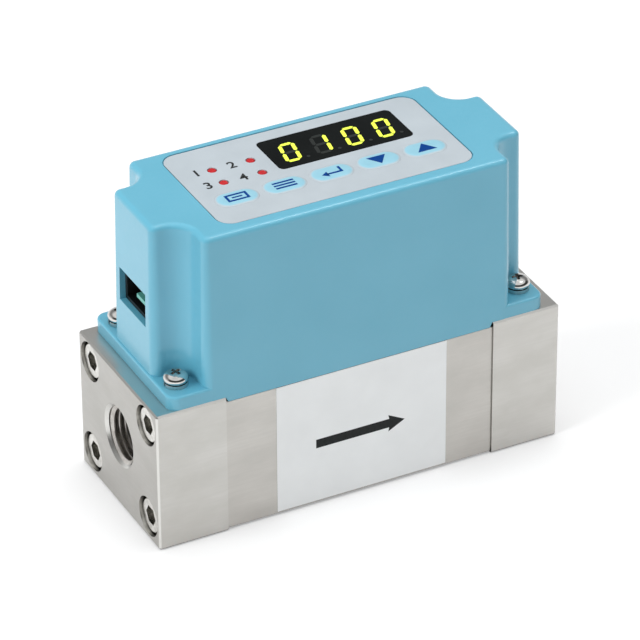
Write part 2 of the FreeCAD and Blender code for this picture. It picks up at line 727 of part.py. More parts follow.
def board_standoffs():
    """Four hexagon pillars with a stud below and a tapped hole above."""
    body = new_body("board_standoffs")
    shape = sketch_on(body, "XY_Plane", FLOW_TOP_Z)
    hexagon(shape, "dim.standoff_x", STANDOFF_Y, "dim.standoff_width")
    pillar = extrude("Pad", shape, f"{MAIN_BOARD_LOW_Z} - {FLOW_TOP_Z}")
    foot = sketch_on(body, "XY_Plane", FLOW_TOP_Z)
    circle(foot, "dim.standoff_x", STANDOFF_Y, "dim.small_shank_radius")
    stud = extrude("Pad", foot, "dim.standoff_stud", reverse=True)
    top = sketch_on(body, "XY_Plane", MAIN_BOARD_LOW_Z)
    circle(top, "dim.standoff_x", STANDOFF_Y, "dim.small_shank_radius")
    tap = extrude("Pocket", top, "dim.main_screw_length")
    repeat([pillar, stud, tap], ["YZ_Plane", "XZ_Plane"])


def board_packages():
    """The two square chip packages on the main board."""
    body = new_body("board_packages")
    shape = sketch_on(body, "XY_Plane", MAIN_BOARD_TOP_Z)
    for x in ("dim.package_x", "-dim.package_x"):
        rectangle(shape, f"{x} - dim.package_width / 2", f"{x} + dim.package_width / 2",
                  f"{PACKAGE_Y} - dim.package_width / 2", f"{PACKAGE_Y} + dim.package_width / 2")
    extrude("Pad", shape, "dim.package_height")


def side_connector():
    """A socket on the board's tongue, whose nose stands in the window of the cover's left end."""
    body = new_body("side_connector")
    half_nose = f"{WINDOW_HALF_Y} - dim.connector_gap"
    nose_low = f"{WINDOW_LOW_Z} + dim.connector_gap"
    nose_high = f"{WINDOW_HIGH_Z} - dim.connector_gap"
    nose = sketch_on(body, "YZ_Plane", f"-{CONNECTOR_FACE_X}")
    rectangle(nose, f"-({half_nose})", half_nose, nose_low, nose_high)
    extrude("Pad", nose, "dim.connector_depth")
    shell = sketch_on(body, "YZ_Plane", f"-{CONNECTOR_SHOULDER_X}")
    rectangle(shell, f"-({half_nose}) - dim.connector_flare", f"{half_nose} + dim.connector_flare",
              MAIN_BOARD_TOP_Z, f"{nose_high} + dim.connector_flare")
    extrude("Pad", shell, f"{CONNECTOR_SHOULDER_X} - {CONNECTOR_BACK_X}")
    mouth = sketch_on(body, "YZ_Plane", f"-{CONNECTOR_FACE_X}")
    rectangle(mouth, f"-({half_nose}) + dim.connector_wall", f"{half_nose} - dim.connector_wall",
              f"{nose_low} + dim.connector_wall", f"{nose_high} - dim.connector_wall")
    extrude("Pocket", mouth, "dim.connector_depth - dim.connector_back_wall", reverse=True)

    body = new_body("connector_contacts")
    blade = sketch_on(body, "YZ_Plane", f"-{CONNECTOR_FACE_X} + dim.contact_front_gap")
    edge = f"-({half_nose}) + dim.connector_wall + dim.contact_edge_gap"
    middle = f"{WINDOW_MID_Z} - dim.contact_drop"
    rectangle(blade, edge, f"{edge} + dim.contact_width", f"{middle} - dim.contact_thickness / 2",
              f"{middle} + dim.contact_thickness / 2")
    extrude("Pad", blade, "dim.connector_depth - dim.connector_back_wall - dim.contact_front_gap")


def board_link():
    """The stacking plug between the two boards."""
    body = new_body("board_link")
    shape = sketch_on(body, "XY_Plane", MAIN_BOARD_TOP_Z)
    rectangle(shape, "-dim.link_length / 2", "dim.link_length / 2", f"{LINK_Y} - dim.link_width / 2",
              f"{LINK_Y} + dim.link_width / 2")
    extrude("Pad", shape, f"{DISPLAY_BOARD_LOW_Z} - {MAIN_BOARD_TOP_Z}")


def display_board():
    """The upper board, hung from four bosses of the cover, and the display on it."""
    body = new_body("display_board")
    shape = sketch_on(body, "XY_Plane", DISPLAY_BOARD_LOW_Z)
    rectangle(shape, f"-{DISPLAY_BOARD_END_X}", DISPLAY_BOARD_END_X,
              f"-{DISPLAY_BOARD_FRONT_Y}", DISPLAY_BOARD_FRONT_Y)
    for x in (BOSS_X, f"-{BOSS_X}"):
        for y in (BOSS_Y, f"-{BOSS_Y}"):
            circle(shape, x, y, "dim.fine_shank_radius + dim.clearance_hole_gap")
    extrude("Pad", shape, "dim.board_thickness")

    body = new_body("led_display")
    shape = sketch_on(body, "XY_Plane", DISPLAY_BOARD_TOP_Z)
    rectangle(shape, "dim.window_centre_x - dim.display_length / 2",
              "dim.window_centre_x + dim.display_length / 2",
              "dim.window_centre_y - dim.display_width / 2",
              "dim.window_centre_y + dim.display_width / 2")
    extrude("Pad", shape, "dim.display_height")


def lamp_places():
    """The four indicator lamps, as expression pairs."""
    columns = ("-dim.lamp_left_x", "-dim.lamp_left_x + dim.lamp_pitch_x")
    rows = ("dim.lamp_back_y", "dim.lamp_back_y - dim.lamp_pitch_y")
    return [(x, y) for x in columns for y in rows]


def indicator_lamps():
    """Four round lamps that stand on the board and end flush with the panel's face."""
    body = new_body("indicator_lamps")
    shape = sketch_on(body, "XY_Plane", DISPLAY_BOARD_TOP_Z)
    for x, y in lamp_places():
        circle(shape, x, y, "dim.lamp_radius")
    stems = extrude("Pad", shape, f"{PANEL_TOP_Z} - {DISPLAY_BOARD_TOP_Z}")
    top = value(PANEL_TOP_Z)
    dress("Chamfer", stems, "dim.lamp_bevel", lambda box: box.ZMin > top - 0.01)


def key_place(number):
    """The x of a key, counted from 0 at the left."""
    return f"dim.key_first_x + {number} * dim.key_pitch"


def keys():
    """Five push switches on the upper board, each with its own sprung plunger."""
    body = new_body("key_switches")
    shape = sketch_on(body, "XY_Plane", DISPLAY_BOARD_TOP_Z)
    for number in range(5):
        x = key_place(number)
        rectangle(shape, f"{x} - dim.switch_width / 2", f"{x} + dim.switch_width / 2",
                  "dim.key_y - dim.switch_width / 2", "dim.key_y + dim.switch_width / 2")
    extrude("Pad", shape, "dim.switch_height")
    floor = f"{DISPLAY_BOARD_TOP_Z} + dim.switch_floor"
    roof = f"{DISPLAY_BOARD_TOP_Z} + dim.switch_height - dim.switch_roof"
    for number in range(5):
        cavity = sketch_on(body, "XZ_Plane", level="-dim.key_y", across=key_place(number))
        outline(cavity, [
            ("0", floor),
            ("dim.switch_cavity_radius", floor),
            ("dim.switch_cavity_radius", roof),
            ("dim.plunger_radius + dim.plunger_gap", roof),
            ("dim.plunger_radius + dim.plunger_gap", f"{roof} + dim.switch_roof"),
            ("0", f"{roof} + dim.switch_roof"),
        ])
        turn("Groove", cavity, "V_Axis")
    for number in range(5):
        body = new_body(f"key_plunger_{number + 1}")
        profile = sketch_on(body, "XZ_Plane", level="-dim.key_y", across=key_place(number))
        outline(profile, [
            ("0", f"{roof} - dim.plunger_foot_height"),
            ("dim.plunger_foot_radius", f"{roof} - dim.plunger_foot_height"),
            ("dim.plunger_foot_radius", roof),
            ("dim.plunger_radius", roof),
            ("dim.plunger_radius", f"{PANEL_SEAT_Z} - dim.plunger_top_gap"),
            ("0", f"{PANEL_SEAT_Z} - dim.plunger_top_gap"),
        ])
        turn("Revolution", profile, "V_Axis")


def tower_outline(sketch, inset, corner=None):
    """The cover's plan: a rectangle whose four corners are scalloped out round the screws.

    The inset moves every wall inwards, and the round inner corners grow by as much. The corners that
    stand out are sharp, or have the given radius.
    """
    end = f"{TOWER_END_X} - {inset}"
    front = f"{TOWER_FRONT_Y} - {inset}"
    lobe_x = f"{LOBE_X} - {inset}"
    lobe_y = f"{LOBE_Y} - {inset}"
    radius = f"dim.scallop_radius + {inset}"
    hollow = (f"{lobe_x} + {radius}", f"{lobe_y} + {radius}")
    if corner:
        near = (f"{lobe_x} - {corner}", f"{front} - {corner}")
        far = (f"{end} - {corner}", f"{lobe_y} - {corner}")
        notch = [(near[0], front), (lobe_x, near[1]), (lobe_x, hollow[1]),
                 (hollow[0], lobe_y), (far[0], lobe_y), (end, far[1])]
        centres = {0: near, 2: hollow, 4: far}
    else:
        notch = [(lobe_x, front), (lobe_x, hollow[1]), (hollow[0], lobe_y), (end, lobe_y)]
        centres = {1: hollow}
    corners = []
    arcs = {}
    for sx, sy in ((1, -1), (1, 1), (-1, 1), (-1, -1)):
        quarter = [(f"({sx}) * ({x})", f"({sy}) * ({y})") for x, y in notch]
        forward = sx * sy < 0
        for side, (x, y) in centres.items():
            index = side if forward else len(notch) - 2 - side
            arcs[len(corners) + index] = (f"({sx}) * ({x})", f"({sy}) * ({y})")
        corners += quarter if forward else quarter[::-1]
    outline(sketch, corners, arcs)


def housing_cover():
    """The moulded cover: flange with screw lugs, drafted scalloped tower, cavity, bosses, openings."""
    body = new_body("housing_cover")
    plate = sketch_on(body, "XY_Plane", "dim.block_height")
    rounded_rectangle(plate, f"-{FLANGE_END_X}", FLANGE_END_X, f"-{FLANGE_FRONT_Y}", FLANGE_FRONT_Y,
                      "dim.flange_corner")
    flange = extrude("Pad", plate, "dim.flange_thickness")
    rim = value(FLANGE_TOP_Z)
    dress("Fillet", flange, "dim.flange_rim", lambda box: box.ZMin > rim - 0.01)
    skirt_end = f"{BLOCK_INNER_X} - dim.skirt_gap"
    skirt = sketch_on(body, "XZ_Plane")
    outline(skirt, [
        (f"-({skirt_end}) + dim.skirt_taper", FLOW_TOP_Z),
        (f"{skirt_end} - dim.skirt_taper", FLOW_TOP_Z),
        (skirt_end, "dim.block_height"),
        (f"-({skirt_end})", "dim.block_height"),
    ])
    extrude("Pad", skirt, f"2 * {FLANGE_FRONT_Y}", middle=True)
    plan = sketch_on(body, "XY_Plane", "dim.block_height")
    tower_outline(plan, "0", "dim.tower_corner")
    tower = extrude("Pad", plan, "dim.tower_height", draft="-dim.tower_draft")
    top = value(COVER_TOP_Z)
    dress("Fillet", tower, "dim.tower_round", lambda box: box.ZMin > top - 0.01)

    hollow = sketch_on(body, "XY_Plane", FLOW_TOP_Z)
    tower_outline(hollow, "dim.cover_wall")
    extrude("Pocket", hollow, f"{ROOF_UNDER_Z} - {FLOW_TOP_Z}", reverse=True, draft="-dim.tower_draft")

    bosses = sketch_on(body, "XY_Plane", DISPLAY_BOARD_TOP_Z)
    for x in (BOSS_X, f"-{BOSS_X}"):
        for y in (BOSS_Y, f"-{BOSS_Y}"):
            circle(bosses, x, y, "dim.boss_radius")
    extrude("Pad", bosses, f"{ROOF_UNDER_Z} - {DISPLAY_BOARD_TOP_Z} + dim.boss_hole_extra")
    cores = sketch_on(body, "XY_Plane", DISPLAY_BOARD_TOP_Z)
    for x in (BOSS_X, f"-{BOSS_X}"):
        for y in (BOSS_Y, f"-{BOSS_Y}"):
            circle(cores, x, y, "dim.fine_shank_radius")
    extrude("Pocket", cores, f"{ROOF_UNDER_Z} - {DISPLAY_BOARD_TOP_Z}", reverse=True)

    recess = sketch_on(body, "XY_Plane", COVER_TOP_Z)
    rounded_rectangle(recess, "-dim.panel_left - dim.panel_gap", "dim.panel_right + dim.panel_gap",
                      f"-{PANEL_FRONT_Y} - dim.panel_gap", f"{PANEL_BACK_Y} + dim.panel_gap",
                      "dim.panel_corner + dim.panel_gap")
    extrude("Pocket", recess, "dim.panel_recess")
    openings = sketch_on(body, "XY_Plane", COVER_TOP_Z)
    rectangle(openings, "dim.window_centre_x - dim.window_length / 2 + dim.window_ledge",
              "dim.window_centre_x + dim.window_length / 2 - dim.window_ledge",
              "dim.window_centre_y - dim.window_width / 2 + dim.window_ledge",
              "dim.window_centre_y + dim.window_width / 2 - dim.window_ledge")
    for x, y in lamp_places():
        circle(openings, x, y, "dim.lamp_radius + dim.lamp_gap")
    for number in range(5):
        circle(openings, key_place(number), "dim.key_y", "dim.plunger_radius + dim.key_hole_gap")
    extrude("Pocket", openings, "dim.cover_wall + dim.panel_recess")

    window = sketch_on(body, "YZ_Plane", f"-{FLANGE_END_X}")
    rectangle(window, f"-{WINDOW_HALF_Y}", WINDOW_HALF_Y, WINDOW_LOW_Z, WINDOW_HIGH_Z)
    extrude("Pocket", window, f"{FLANGE_END_X} - {TONGUE_END_X}", reverse=True)

    holes = sketch_on(body, "XY_Plane", FLANGE_TOP_Z)
    for x in (COVER_SCREW_X, f"-{COVER_SCREW_X}"):
        for y in (COVER_SCREW_Y, f"-{COVER_SCREW_Y}"):
            circle(holes, x, y, "dim.small_shank_radius + dim.small_hole_gap")
    extrude("Pocket", holes, "dim.flange_thickness")


def spring_washers():
    """Split spring washers under the cover screws."""
    body = new_body("cover_spring_washers")
    ring = sketch_on(body, "XY_Plane", FLANGE_TOP_Z)
    circle(ring, COVER_SCREW_X, COVER_SCREW_Y, "dim.spring_washer_radius")
    circle(ring, COVER_SCREW_X, COVER_SCREW_Y, "dim.small_shank_radius + dim.small_hole_gap")
    washer = extrude("Pad", ring, "dim.spring_washer_height")
    gap = sketch_on(body, "XY_Plane", f"{FLANGE_TOP_Z} + dim.spring_washer_height")
    rectangle(gap, COVER_SCREW_X, f"{COVER_SCREW_X} + 2 * dim.spring_washer_radius",
              f"{COVER_SCREW_Y} - dim.spring_washer_slit / 2",
              f"{COVER_SCREW_Y} + dim.spring_washer_slit / 2")
    slit = extrude("Pocket", gap, "dim.spring_washer_height")
    repeat([washer, slit], ["YZ_Plane", "XZ_Plane"])


def overlay_panel():
    """The panel film in the top recess, with its window cut-out, lamp holes and raised key pads."""
    body = new_body("overlay_panel")
    sheet_plan = sketch_on(body, "XY_Plane", PANEL_SEAT_Z)
    rounded_rectangle(sheet_plan, "-dim.panel_left", "dim.panel_right", f"-{PANEL_FRONT_Y}",
                      PANEL_BACK_Y, "dim.panel_corner")
    rounded_rectangle(sheet_plan, "dim.window_centre_x - dim.window_length / 2 - dim.window_gap",
                      "dim.window_centre_x + dim.window_length / 2 + dim.window_gap",
                      "dim.window_centre_y - dim.window_width / 2 - dim.window_gap",
                      "dim.window_centre_y + dim.window_width / 2 + dim.window_gap",
                      "dim.window_corner + dim.window_gap")
    for x, y in lamp_places():
        circle(sheet_plan, x, y, "dim.lamp_radius + dim.lamp_gap")
    extrude("Pad", sheet_plan, "dim.panel_thickness")
    pads = sketch_on(body, "XY_Plane", PANEL_TOP_Z)
    for number in range(5):
        x = key_place(number)
        left = f"{x} - dim.key_length / 2"
        right = f"{x} + dim.key_length / 2"
        low = "dim.key_y - dim.key_width / 2"
        high = "dim.key_y + dim.key_width / 2"
        reach = "dim.key_width / 2"
        outline(pads, [
            (f"{left} + {reach}", low),
            (f"{right} - {reach}", low),
            (f"{right} - {reach}", high),
            (f"{left} + {reach}", high),
        ], {
            1: (f"{right} - {reach}", "dim.key_y"),
            3: (f"{left} + {reach}", "dim.key_y"),
        })
    pads = extrude("Pad", pads, "dim.key_rise")
    top = value(f"{PANEL_TOP_Z} + dim.key_rise")
    dress("Chamfer", pads, "dim.key_bevel", lambda box: box.ZMin > top - 0.01)


def display_window():
    """The dark clear window, let into the film and resting on the edge of the cover's opening."""
    body = new_body("display_window")
    shape = sketch_on(body, "XY_Plane", PANEL_SEAT_Z)
    rounded_rectangle(shape, "dim.window_centre_x - dim.window_length / 2",
                      "dim.window_centre_x + dim.window_length / 2",
                      "dim.window_centre_y - dim.window_width / 2",
                      "dim.window_centre_y + dim.window_width / 2", "dim.window_corner")
    extrude("Pad", shape, "dim.panel_thickness")


def flow_label():
    """The plain label stuck on the front of the flow body."""
    body = new_body("flow_label")
    shape = sketch_on(body, "XZ_Plane", FLOW_FRONT_Y)
    rectangle(shape, "-dim.label_left", "dim.label_right", "dim.label_low_z",
              f"{FLOW_TOP_Z} - dim.label_top_gap")
    extrude("Pad", shape, "dim.label_thickness")


def check_and_write():
    """Stop on any failed object, then write each sub-part to its own file."""
    doc.recompute()
    for item in doc.Objects:
        if "Invalid" in item.State or "Error" in item.State:
            raise RuntimeError(f"{item.Name} failed: {item.State}")
    for body in nodes:
        shape = body.Shape
        if shape.isNull() or not shape.isValid() or not shape.Solids:
            raise RuntimeError(f"{body.Label} has no valid solid")
        shape.exportStep(f"parts/{body.Label}.step")
        print(body.Label, len(shape.Solids), "solids", round(shape.Volume, 2), "mm3")


end_block("inlet_block", -1)
end_block("outlet_block", 1)
flow_body()
seal_ring("inlet_seal", -1)
seal_ring("outlet_seal", 1)
block_screws("inlet_block_screws", -1)
block_screws("outlet_block_screws", 1)
flow_element("inlet_screen", f"-{BLOCK_INNER_X}", "dim.screen_thickness")
screen_spacer()
flow_element("flow_straightener", f"-{BLOCK_INNER_X} + dim.screen_thickness + dim.spacer_length",
             "dim.straightener_length")
flow_element("outlet_screen", f"{BLOCK_INNER_X} - dim.screen_thickness", "dim.screen_thickness")
sensor()
cross_screws("sensor_clamp_screws", ("dim.clamp_screw_x", "0"), CLAMP_TOP_Z, "dim.clamp_screw_length",
             ["YZ_Plane"])
board_standoffs()
main_board()
cross_screws("main_board_screws", ("dim.standoff_x", STANDOFF_Y), MAIN_BOARD_TOP_Z,
             "dim.main_screw_length", ["YZ_Plane", "XZ_Plane"])
board_packages()
side_connector()
board_link()
display_board()
cross_screws("display_board_screws", (BOSS_X, BOSS_Y), DISPLAY_BOARD_LOW_Z,
             "dim.fine_screw_length", ["YZ_Plane", "XZ_Plane"], fine=True, upward=True)
indicator_lamps()
keys()
housing_cover()
spring_washers()
cross_screws("cover_screws", (COVER_SCREW_X, COVER_SCREW_Y),
             f"({FLANGE_TOP_Z} + dim.spring_washer_height)", "dim.cover_screw_length",
             ["YZ_Plane", "XZ_Plane"])
overlay_panel()
display_window()
flow_label()
check_and_write()
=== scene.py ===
"""Materials, fine pieces, studio and camera for the gas mass flow meter.

Lengths in this script are millimetres in the part's own frame, and become metres in the meshes.
Only the floor's size, the lights and the camera's clipping are in metres. The origin is at the
bottom centre, +X runs along the flow, -Y is the labelled front, +Z is up.
"""

import math

import bmesh
import bpy
from mathutils import Matrix, Vector


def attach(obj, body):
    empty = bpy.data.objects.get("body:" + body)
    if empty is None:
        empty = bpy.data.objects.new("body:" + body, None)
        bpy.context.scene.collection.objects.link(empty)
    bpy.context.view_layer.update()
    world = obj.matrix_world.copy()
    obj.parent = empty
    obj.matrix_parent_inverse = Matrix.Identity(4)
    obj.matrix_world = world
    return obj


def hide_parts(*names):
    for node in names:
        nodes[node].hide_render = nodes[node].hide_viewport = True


MM = 0.001

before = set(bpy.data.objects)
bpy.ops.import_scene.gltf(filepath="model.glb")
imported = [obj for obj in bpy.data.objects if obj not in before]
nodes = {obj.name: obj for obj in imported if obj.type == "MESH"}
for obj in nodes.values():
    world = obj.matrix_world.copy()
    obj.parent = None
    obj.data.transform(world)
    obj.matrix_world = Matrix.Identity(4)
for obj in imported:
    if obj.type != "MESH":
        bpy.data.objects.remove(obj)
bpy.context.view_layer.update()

# Places taken over from the solids
PANEL_Z = 73.5
PANEL_SIZE = (60.4, 31.4)
PANEL_CENTRE = (0, 0.5)
PANEL_CORNER = 3.5
FILM_THICKNESS = 0.4
KEY_X = [-22.4 + 11.18 * number for number in range(5)]
KEY_Y = -6.05
KEY_LENGTH = 10
KEY_WIDTH = 5.8
LAMP_X = (-22.05, -12.95)
LAMP_Y = (6.7, 1)
LAMP_RADIUS = 1.02
LAMP_GAP = 0.08
WINDOW_CENTRE = (7.05, 6.27)
WINDOW_SIZE = (32.2, 12.7)
WINDOW_GAP = 0.05
WINDOW_CORNER = 1.35
LABEL_FRONT_Y = -19.3
PORT_HEIGHT = 18
PORT_RADIUS = 6.58
BLOCK_END_X = 48.7
COVER_SCREWS = [(x, y) for x in (-41.3, 41.3) for y in (-13.9, 13.9)]
COVER_SCREW_SEAT_Z = 38

# Printed signs stand this far off their sheet, and are this thick
PRINT_GAP = 0.002
PRINT_THICKNESS = 0.012


# Colour and material helpers


def srgb(red, green, blue):
    """A colour read on a 0 to 255 scale, as linear values with alpha."""
    values = []
    for level in (red, green, blue):
        level /= 255
        values.append(level / 12.92 if level <= 0.04045 else ((level + 0.055) / 1.055) ** 2.4)
    return (*values, 1)


class NodeTree:
    """Short methods that build a node tree."""

    def __init__(self, tree):
        self.tree = tree

    def add(self, kind, **settings):
        node = self.tree.nodes.new(kind)
        for key, setting in settings.items():
            setattr(node, key, setting)
        return node

    def feed(self, value, socket):
        """Link an output to a socket, or give the socket a plain value."""
        if isinstance(value, bpy.types.NodeSocket):
            self.tree.links.new(value, socket)
        else:
            socket.default_value = value

    def calculate(self, kind, operation, *values):
        """A math or vector math node on outputs or plain values."""
        node = self.add(kind, operation=operation)
        for value, socket in zip(values, node.inputs):
            self.feed(value, socket)
        return node

    def ramp(self, factor, *stops):
        """A colour ramp through (position, colour) stops."""
        node = self.add("ShaderNodeValToRGB")
        elements = node.color_ramp.elements
        for index, (position, colour) in enumerate(stops):
            element = elements[index] if index < 2 else elements.new(position)
            element.position = position
            element.color = colour
        self.feed(factor, node.inputs["Fac"])
        return node.outputs["Color"]

    def remap(self, factor, start, end, low=0, high=1, interpolation="LINEAR"):
        """Low at the factor's start and high at its end, held outside them."""
        node = self.add("ShaderNodeMapRange", interpolation_type=interpolation)
        limits = {"From Min": start, "From Max": end, "To Min": low, "To Max": high}
        for name, limit in limits.items():
            node.inputs[name].default_value = limit
        self.feed(factor, node.inputs["Value"])
        return node.outputs["Result"]

    def blend(self, factor, first, second):
        """The first colour turning into the second; all three may be outputs or plain values."""
        node = self.add("ShaderNodeMix", data_type="RGBA")
        for value, socket in ((factor, 0), (first, 6), (second, 7)):
            self.feed(value, node.inputs[socket])
        return node.outputs[2]


class Shade(NodeTree):
    """A material with short methods for the textures that the surfaces share."""

    def __init__(self, name):
        self.material = bpy.data.materials.new(name)
        self.material.use_nodes = True
        super().__init__(self.material.node_tree)
        self.surface = self.tree.nodes["Principled BSDF"]

    def plain(self, **sockets):
        """Set the shader's own sockets, with underscores for spaces in their names."""
        for key, setting in sockets.items():
            self.surface.inputs[key.replace("_", " ")].default_value = setting

    def place(self, stretch=(1, 1, 1)):
        """Object coordinates in millimetres, stretched along the axes."""
        source = self.add("ShaderNodeTexCoord")
        mapping = self.add("ShaderNodeMapping")
        mapping.inputs["Scale"].default_value = [1000 * share for share in stretch]
        self.feed(source.outputs["Object"], mapping.inputs["Vector"])
        return mapping.outputs["Vector"]

    def noise(self, scale, detail=3, roughness=0.5, stretch=(1, 1, 1)):
        node = self.add("ShaderNodeTexNoise")
        node.inputs["Scale"].default_value = scale
        node.inputs["Detail"].default_value = detail
        node.inputs["Roughness"].default_value = roughness
        self.feed(self.place(stretch), node.inputs["Vector"])
        return node.outputs["Fac"]

    def cloud(self, dark, light, scale, detail=3):
        """A tone that drifts between two colours."""
        return self.ramp(self.noise(scale, detail), (0.3, dark), (0.7, light))

    def spread(self, factor, low, high):
        """The factor's middle range spread over low to high."""
        return self.remap(factor, 0.3, 0.7, low, high)

    def bump(self, height, strength, depth):
        """Surface relief, with its depth in millimetres."""
        node = self.add("ShaderNodeBump")
        node.inputs["Strength"].default_value = strength
        node.inputs["Distance"].default_value = depth * MM
        self.feed(height, node.inputs["Height"])
        self.feed(node.outputs["Normal"], self.surface.inputs["Normal"])

    def shade_occlusion_mask(self, distance, shut, clear):
        """Mask for painted shade: one in narrow gaps, zero in the open, from the occlusion within a
        distance in millimetres.
        """
        occlusion = self.add("ShaderNodeAmbientOcclusion")
        occlusion.inputs["Distance"].default_value = distance * MM
        return self.remap(occlusion.outputs["AO"], shut, clear, low=1, high=0)

    def facing(self):
        """How far the surface faces one of the axes, and how far it lies level, in the part's frame."""
        normal = self.add("ShaderNodeTexCoord").outputs["Normal"]
        absolute = self.calculate("ShaderNodeVectorMath", "ABSOLUTE", normal)
        split = self.add("ShaderNodeSeparateXYZ")
        self.feed(absolute.outputs[0], split.inputs[0])
        x, y, z = split.outputs
        upright = self.calculate("ShaderNodeMath", "MAXIMUM", x, y)
        largest = self.calculate("ShaderNodeMath", "MAXIMUM", upright.outputs[0], z)
        return largest.outputs[0], z

    def colour(self, value):
        self.feed(value, self.surface.inputs["Base Color"])

    def rough(self, value):
        self.feed(value, self.surface.inputs["Roughness"])


def moulded_plastic(name, dark, light, roughness, grain=0.25):
    """Injection moulded plastic: faint cloudy colour, a fine spark-eroded grain, uneven gloss."""
    shade = Shade(name)
    shade.colour(shade.cloud(dark, light, 0.06, detail=2))
    shade.rough(shade.spread(shade.noise(0.8, detail=4), roughness - 0.04, roughness + 0.04))
    shade.bump(shade.noise(5, roughness=0.6), grain, 0.02)
    return shade


def ground_steel(name, dark, light, along, roughness=0.3):
    """Ground stainless steel with faint grain lines and a cloudy tone.

    The level faces carry a painted reflection and the edges a painted highlight, both a lighter colour, and
    the narrow gaps carry painted shade.
    """
    shade = Shade(name)
    drift = shade.noise(0.12, detail=4, roughness=0.6, stretch=(0.5, 0.5, 1))
    tone = shade.ramp(drift, (0.35, dark), (0.65, light))
    grain = shade.noise(2.2, detail=4, roughness=0.6, stretch=along)
    ground = shade.blend(shade.spread(grain, 0, 0.55), tone, dark)
    axial, level = shade.facing()
    # Painted reflection: the level faces are given a lighter colour so that they reflect more.
    painted_level_reflection = shade.blend(shade.remap(level, 0.9, 0.98), ground, srgb(226, 225, 221))
    # Painted highlight: faces turned away from the axes, as on the edges, are given a lighter colour.
    painted_edge_highlight = shade.blend(shade.remap(axial, 0.95, 0.8), painted_level_reflection, srgb(216, 215, 211))
    # Painted shade: narrow gaps, found by occlusion within 2.5 mm, are given a dark colour.
    gaps = shade.shade_occlusion_mask(2.5, shut=0.3, clear=0.62)
    shade.colour(shade.blend(gaps, painted_edge_highlight, srgb(46, 44, 41)))
    gloss = shade.noise(1.2, detail=2, stretch=along)
    shade.rough(shade.spread(gloss, roughness - 0.02, roughness + 0.03))
    shade.bump(grain, 0.1, 0.002)
    shade.plain(Metallic=1, Specular_Tint=(0.78, 0.78, 0.78, 1))
    return shade


def polished_metal(name, dark, light, roughness, painted_shade_gap=0.45):
    """Plated or polished small hardware: slightly uneven, with painted shade in gaps of the given width."""
    shade = Shade(name)
    tone = shade.cloud(dark, light, 0.7)
    # Painted shade: narrow gaps, found by occlusion, are given a near black colour.
    shade.colour(shade.blend(shade.shade_occlusion_mask(painted_shade_gap, shut=0.2, clear=0.6), tone, srgb(30, 29, 28)))
    shade.rough(shade.spread(shade.noise(1.6), roughness - 0.03, roughness + 0.05))
    shade.bump(shade.noise(2.5, detail=2), 0.08, 0.01)
    shade.plain(Metallic=1)
    return shade


def coated_sheet(name, dark, light, roughness, grain, depth=0.01):
    """Printed film or label: even tone with a fine coated texture."""
    shade = Shade(name)
    shade.colour(shade.cloud(dark, light, 0.12))
    shade.rough(shade.spread(shade.noise(1.1), roughness - 0.04, roughness + 0.06))
    shade.bump(shade.noise(grain, roughness=0.6), 0.25, depth)
    return shade


def ink(name, dark, light, roughness):
    """Screen-printed ink: slightly uneven cover."""
    shade = Shade(name)
    shade.colour(shade.cloud(dark, light, 1.4, detail=4))
    shade.bump(shade.noise(7, detail=2), 0.15, 0.006)
    shade.plain(Roughness=roughness, Specular_IOR_Level=0.1)
    return shade


# Materials

GRINDING = (0.05, 0.1, 1)
FILM_TONES = (srgb(172, 181, 187), srgb(179, 188, 194))

cover_blue = moulded_plastic("cover_blue", srgb(92, 169, 193), srgb(97, 173, 197), 0.55, grain=0.12)
cover_blue.plain(Coat_Weight=1, Coat_Roughness=0.2)

block_steel = ground_steel("block_steel", srgb(187, 185, 180), srgb(199, 197, 193), GRINDING)
body_steel = ground_steel("body_steel", srgb(180, 177, 172), srgb(192, 189, 184), GRINDING)
inner_steel = ground_steel("inner_steel", srgb(180, 180, 178), srgb(200, 199, 196), (1, 1, 1), 0.35)
thread_steel = polished_metal("thread_steel", srgb(176, 172, 166), srgb(206, 202, 197), 0.3)
screw_steel = polished_metal("screw_steel", srgb(196, 195, 193), srgb(224, 223, 220), 0.08)
washer_steel = polished_metal("washer_steel", srgb(196, 196, 194), srgb(222, 222, 219), 0.3, painted_shade_gap=0.8)
bolt_steel = polished_metal("bolt_steel", srgb(196, 194, 188), srgb(226, 224, 219), 0.2)
pin_gold = polished_metal("pin_gold", srgb(214, 176, 88), srgb(236, 200, 116), 0.2)

sealing_rubber = moulded_plastic("sealing_rubber", srgb(24, 24, 24), srgb(36, 36, 36), 0.7, grain=0.3)
black_plastic = moulded_plastic("black_plastic", srgb(13, 15, 16), srgb(24, 26, 27), 0.45)
socket_plastic = moulded_plastic("socket_plastic", srgb(6, 8, 9), srgb(11, 13, 14), 0.5, grain=0.2)
header_plastic = moulded_plastic("header_plastic", srgb(206, 197, 168), srgb(220, 212, 184), 0.55)
plunger_plastic = moulded_plastic("plunger_plastic", srgb(226, 226, 221), srgb(236, 236, 232), 0.4)
mint_plastic = moulded_plastic("mint_plastic", srgb(92, 170, 158), srgb(108, 186, 172), 0.35)

chip_ceramic = coated_sheet("chip_ceramic", srgb(76, 79, 92), srgb(92, 96, 110), 0.3, grain=6)
board_green = coated_sheet("board_green", srgb(16, 84, 56), srgb(24, 104, 70), 0.35, grain=3)
display_face = coated_sheet("display_face", srgb(22, 24, 25), srgb(28, 30, 31), 0.4, grain=6)
label_film = coated_sheet("label_film", srgb(236, 238, 238), srgb(241, 243, 243), 0.38, grain=5)
panel_film = coated_sheet("panel_film", *FILM_TONES, 0.4, grain=4)
dark_window = coated_sheet("dark_window", srgb(15, 18, 18), srgb(20, 23, 23), 0.2, grain=2, depth=0.002)
dark_window.plain(Specular_IOR_Level=0.06)

